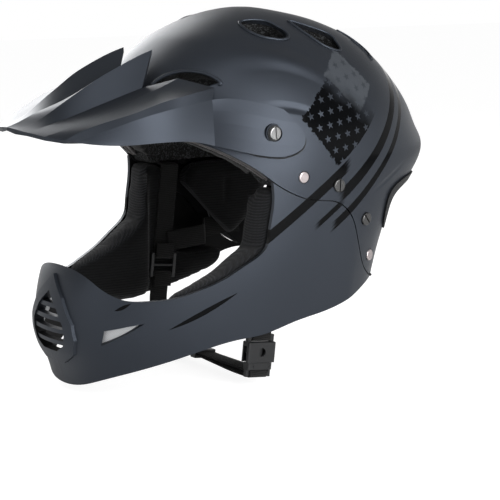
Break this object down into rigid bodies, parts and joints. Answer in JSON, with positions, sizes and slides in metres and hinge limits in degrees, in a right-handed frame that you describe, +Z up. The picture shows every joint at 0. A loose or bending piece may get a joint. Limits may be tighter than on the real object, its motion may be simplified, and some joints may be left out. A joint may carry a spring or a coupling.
{
  "type": "full face bicycle helmet",
  "caption": "Full face bicycle helmet with a tilting peaked visor, bolted chin guard with a slatted air inlet, foam liner, pads and a buckled chin strap.",
  "frame": {"origin": "middle of the wearer's head, level with the temples, on the helmet's middle plane", "axes": "+Z up, -Y to the front, +X to the wearer's left"},
  "size_m": [0.2192, 0.3501, 0.2774],
  "materials": {
    "shell": "satin black painted shell, gloss printed panels",
    "foam_liner": "black expanded foam, fine beads",
    "rim_velour": "brown-grey velour edging",
    "nape_rubber": "matt black rubber channel",
    "comfort_pad": "brushed black comfort padding",
    "cheek_pad": "ribbed black knit over foam",
    "guard": "satin black, gloss printed shards",
    "guard_mesh": "fine silver mesh",
    "visor": "satin black moulding",
    "visor_screw": "bright slotted screw",
    "guard_screw": "dark grey slotted screw",
    "hidden_nut": "plain zinc",
    "rivet": "bright nickel dome",
    "washer": "black nylon",
    "webbing": "flat black woven webbing",
    "buckle": "black acetal, slight sheen"
  },
  "bodies": {
    "helmet": {"outer_shell": "shell", "eps_liner": "foam_liner", "rim_trim": "rim_velour", "nape_trim": "nape_rubber", "brow_pad": "comfort_pad", "crown_pad": "comfort_pad", "rear_pad": "comfort_pad", "chin_guard": "guard", "visor_nuts": "hidden_nut", "chin_guard_screws": "guard_screw", "chin_guard_nuts": "hidden_nut", "front_strap_rivets": "rivet", "rear_strap_rivets": "rivet", "rivet_washers": "hidden_nut", "chin_strap_left": "webbing", "chin_strap_right": "webbing", "buckle_socket": "buckle", "cheek_pad_left": "cheek_pad", "ear_pad_left": "cheek_pad", "guard_mesh_left": "guard_mesh", "front_strap_left": "webbing", "rear_strap_left": "webbing", "strap_adjuster_left": "buckle", "cheek_pad_right": "cheek_pad", "ear_pad_right": "cheek_pad", "guard_mesh_right": "guard_mesh", "front_strap_right": "webbing", "rear_strap_right": "webbing", "strap_adjuster_right": "buckle"},
    "visor": {"visor": "visor", "visor_washers": "washer"},
    "screw_left": {"visor_screw_left": "visor_screw"},
    "screw_right": {"visor_screw_right": "visor_screw"},
    "plug": {"buckle_plug": "buckle", "strap_keeper": "buckle"},
    "prong_front": {"buckle_prong_front": "buckle"},
    "prong_rear": {"buckle_prong_rear": "buckle"}
  },
  "joints": [
    {"name": "visor_tilt", "type": "hinge", "parent": "helmet", "child": "visor", "pos_m": [0, -0.06003, 0.00903], "axis": [1, 0, 0], "range_deg": [-8, 6]},
    {"name": "visor_screw_left_turn", "type": "hinge", "parent": "helmet", "child": "screw_left", "pos_m": [0, -0.06003, 0.00903], "axis": [1, 0, 0], "continuous": true},
    {"name": "visor_screw_right_turn", "type": "hinge", "parent": "helmet", "child": "screw_right", "pos_m": [0, -0.06003, 0.00903], "axis": [1, 0, 0], "continuous": true},
    {"name": "buckle_release", "type": "slide", "parent": "helmet", "child": "plug", "axis": [0, -0.1063, -0.9943], "range_m": [0, 0.02], "deforming": ["chin_strap_right"]},
    {"name": "prong_front_squeeze", "type": "hinge", "parent": "plug", "child": "prong_front", "pos_m": [0.07024, -0.05875, -0.16754], "axis": [1, 0, 0], "range_deg": [-6, 0], "stiffness_Nm_per_rad": 0.06},
    {"name": "prong_rear_squeeze", "type": "hinge", "parent": "plug", "child": "prong_rear", "pos_m": [0.07024, -0.04443, -0.16907], "axis": [1, 0, 0], "range_deg": [0, 6], "stiffness_Nm_per_rad": 0.06}
  ]
}
